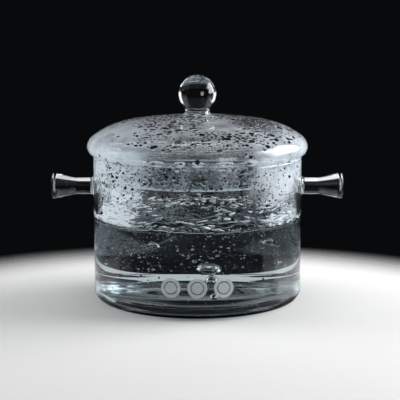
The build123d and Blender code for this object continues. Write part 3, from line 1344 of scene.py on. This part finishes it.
@dataclass
class Studio:
    """Floor, lamps, backdrop and camera."""

    floor_half: float = 0.6
    floor_cells: int = 8
    floor_drop: float = 0.3 * MM
    pale: Colour = (0.62, 0.62, 0.62, 1.0)
    paper_roughness: float = 0.6
    paper_sheen: float = 0.2
    pale_centre: Place = (0.0, -0.10, 0.0)
    pale_fade: Point = (0.22, 0.32)
    # Painted shade and highlights: the colours that glass shows for the floor, not the floor's own.
    painted_shade_in_glass: Colour = (0.008, 0.0085, 0.010, 1.0)
    left_highlight_painted_in_glass: Colour = (0.085, 0.09, 0.097, 1.0)
    right_highlight_painted_in_glass: Colour = (0.05, 0.053, 0.06, 1.0)
    strip_centre: float = -25 * MM
    strip_half: Point = (55 * MM, 85 * MM)
    under_handles: Point = (84 * MM, 92 * MM)
    handle_depth: Point = (140 * MM, 170 * MM)
    handle_front: Point = (-50 * MM, -25 * MM)
    fan_start: Point = (28 * MM, 72 * MM)
    fan_end: float = 92 * MM
    fan_dark: float = math.radians(36)
    fan_pale: float = math.radians(50)
    spokes: float = 22.0
    bands: Place = (26.0, 2.0, 0.0)
    dark: Colour = (0.0026, 0.0030, 0.0034, 1.0)
    camera_place: Place = (2.0 * MM, -1200 * MM, 276 * MM)
    camera_pitch: float = 9.43
    focal_pixels: float = 1572.0
    image_pixels: float = 400.0
    sensor: float = 36.0
    softboxes: tuple[Softbox, ...] = (
        Softbox("right_softbox", (0.77, 0.16, 0.44), (1.00, 0.80), 28.0, glint=Glint.MIRRORED),
        Softbox("right_glow", (0.80, 0.28, 0.30), (1.00, 0.70), 3.8),
        Softbox("right_veil", (0.60, 0.80, 0.45), (0.70, 0.80), 0.10),
        Softbox("left_card", (-0.95, 0.25, 0.35), (0.90, 0.80), 20.0, (0, 0, 0.10), Glint.HIDDEN),
        Softbox("left_glow", (-0.80, 0.28, 0.28), (1.00, 0.60), 3.2),
        Softbox("left_veil", (-0.60, 0.80, 0.45), (0.70, 0.80), 0.10),
        Softbox("front_card", (-0.45, -0.95, 0.45), (0.70, 0.70), 2.5, (0, 0, 0.10), Glint.HIDDEN),
        Softbox("top_softbox", (0.0, 0.15, 1.1), (0.80, 0.80), 6.0, (0, 0, 0.10)),
        Softbox("window", (0.55, -0.95, 0.24), (0.50, 0.56), 5.0, glint=Glint.MIRRORED),
        Softbox("floor_strip", (0.0, 0.118, 0.001), (0.80, 0.012), 0.017, (0, 0.118, 0.4), soft_edge=0.25),
        Softbox("left_shelf", (-0.06, 0.185, 0.06), (0.08, 0.14), 0.024, (-0.062, 0.187, 0), streaks=9.0),
        Softbox("right_shelf", (0.06, 0.185, 0.06), (0.08, 0.14), 0.11, (0.062, 0.187, 0), streaks=9.0),
        Softbox("back_shelf", (0.0, 0.285, 0.06), (0.50, 0.09), 0.07, (0, 0.285, 0), streaks=14.0),
    )

    def build(self) -> None:
        """Make everything round the object."""
        self.lay_floor()
        self.set_backdrop()
        for box in self.softboxes:
            box.hang()
        self.set_camera()

    def lay_floor(self) -> None:
        """Lay a plain pale floor that fades out into the backdrop."""
        work = bmesh.new()
        bmesh.ops.create_grid(work, x_segments=self.floor_cells, y_segments=self.floor_cells,
                              size=self.floor_half)
        bmesh.ops.translate(work, verts=work.verts, vec=(0, 0, -self.floor_drop))
        mesh = bpy.data.meshes.new("floor")
        work.to_mesh(mesh)
        work.free()
        mesh.materials.append(self.paper())
        new_piece("floor", mesh)

    def paper(self) -> Material:
        """Pale paper; glossy and transmission rays see painted shade instead, dark behind the pan and in
        front of it.
        """
        material, graph = new_material("pale_paper")
        place = graph.place()
        axes = graph.axes(place)
        offset = graph.vector("DISTANCE", place, self.pale_centre).outputs["Value"]
        sheet = graph.out("ShaderNodeBsdfPrincipled", {
            "Base Color": self.pale, "Roughness": self.paper_roughness,
            "Specular IOR Level": self.paper_sheen})
        clear = graph.out("ShaderNodeBsdfTransparent")
        plain = graph.mix(graph.ramp(offset, *self.pale_fade), sheet, clear)
        dim = graph.out("ShaderNodeBsdfDiffuse", {"Color": self.painted_in_glass(graph, place)})
        faint = graph.out("ShaderNodeBsdfDiffuse", {"Color": self.painted_shade_in_glass})
        aside = graph.away(axes["Y"], self.strip_centre)
        under = graph.ramp(graph.math("ABSOLUTE", axes["X"]), *self.under_handles, 1.0, 0.0)
        ahead = graph.math("MAXIMUM", under, graph.ramp(axes["Y"], *self.handle_front, 1.0, 0.0))
        outside = graph.math("MAXIMUM", ahead, graph.ramp(axes["Y"], *self.handle_depth))
        beyond = graph.math("MULTIPLY", graph.ramp(aside, *self.strip_half), outside)
        # Glossy and transmission rays get the painted shade and highlights in place of the pale paper.
        path = graph.node("ShaderNodeLightPath").outputs
        mirrored = graph.mix(path["Is Glossy Ray"], plain, graph.mix(ahead, plain, faint))
        graph.end(graph.mix(path["Is Transmission Ray"], mirrored, graph.mix(beyond, plain, dim)))
        return material

    def painted_in_glass(self, graph: Graph, place: NodeSocket) -> NodeSocket:
        """The floor's colour as the glass shows it, painted: painted shade behind the pan, painted highlights
        in pale fans, bands and spokes to its sides.
        """
        axes = graph.axes(place)
        drawn = graph.vector("MULTIPLY", place, self.bands).outputs[0]
        bands = graph.ramp(graph.noise(drawn, scale=1.0, detail=3.0), low=0.35, high=0.65,
                           start=0.35, end=1.3)
        behind = graph.math("SUBTRACT", axes["Y"], self.fan_start[1])
        colour = self.painted_shade_in_glass
        for side, pale in ((-1.0, self.left_highlight_painted_in_glass), (1.0, self.right_highlight_painted_in_glass)):
            out = graph.math("MULTIPLY", axes["X"], side)
            turn = graph.math("ARCTAN2", graph.math("ADD", out, self.fan_start[0]), behind)
            fan = graph.ramp(turn, self.fan_dark, self.fan_pale)
            beside = graph.math("MULTIPLY", graph.ramp(out, 0.0, self.fan_start[0]),
                                graph.ramp(out, self.fan_end, self.fan_start[1]))
            spoke = graph.out("ShaderNodeCombineXYZ", {"X": turn, "Y": side})
            lines = graph.ramp(graph.noise(spoke, self.spokes, detail=1.0), low=0.58, high=0.7, end=0.8)
            share = graph.math("MAXIMUM", graph.math("MULTIPLY", fan, beside), lines)
            colour = graph.node("ShaderNodeMix", {"Factor": share, 6: colour, 7: pale},
                                data_type="RGBA").outputs[2]
        return graph.out("ShaderNodeVectorMath", {0: colour, "Scale": bands}, operation="SCALE")

    def set_backdrop(self) -> None:
        """Set a dark plain world."""
        world = bpy.data.worlds.new("backdrop")
        world.use_nodes = True
        graph = Graph(world.node_tree)
        glow = graph.out("ShaderNodeBackground", {"Color": self.dark, "Strength": 1.0})
        graph.node("ShaderNodeOutputWorld", {"Surface": glow})
        bpy.context.scene.world = world

    def set_camera(self) -> None:
        """Stand the camera where the photograph was taken from."""
        lens = bpy.data.cameras.new("camera")
        lens.sensor_width = self.sensor
        lens.lens = self.focal_pixels / self.image_pixels * self.sensor
        holder = bpy.data.objects.new("camera", lens)
        holder.location = self.camera_place
        holder.rotation_euler = Euler((math.radians(90 - self.camera_pitch), 0, 0))
        bpy.context.scene.collection.objects.link(holder)
        bpy.context.scene.camera = holder


def main() -> None:
    """Build and dress the object, then the studio round it."""
    logging.basicConfig(level=logging.INFO, format="%(name)s: %(message)s")
    bpy.context.scene.view_settings.view_transform = "Standard"
    bpy.context.scene.cycles.transparent_max_bounces = 24
    shop = Shop()
    pan = Pan()
    pan.dress(shop)
    pan.build_steam(shop)
    lid = Lid(pan)
    lid.dress(shop)
    lid.build_steam(shop)
    lid.build_gutter(shop)
    SimmeringWater(pan).build(shop)
    Studio().build()


if __name__ == "__main__":
    main()
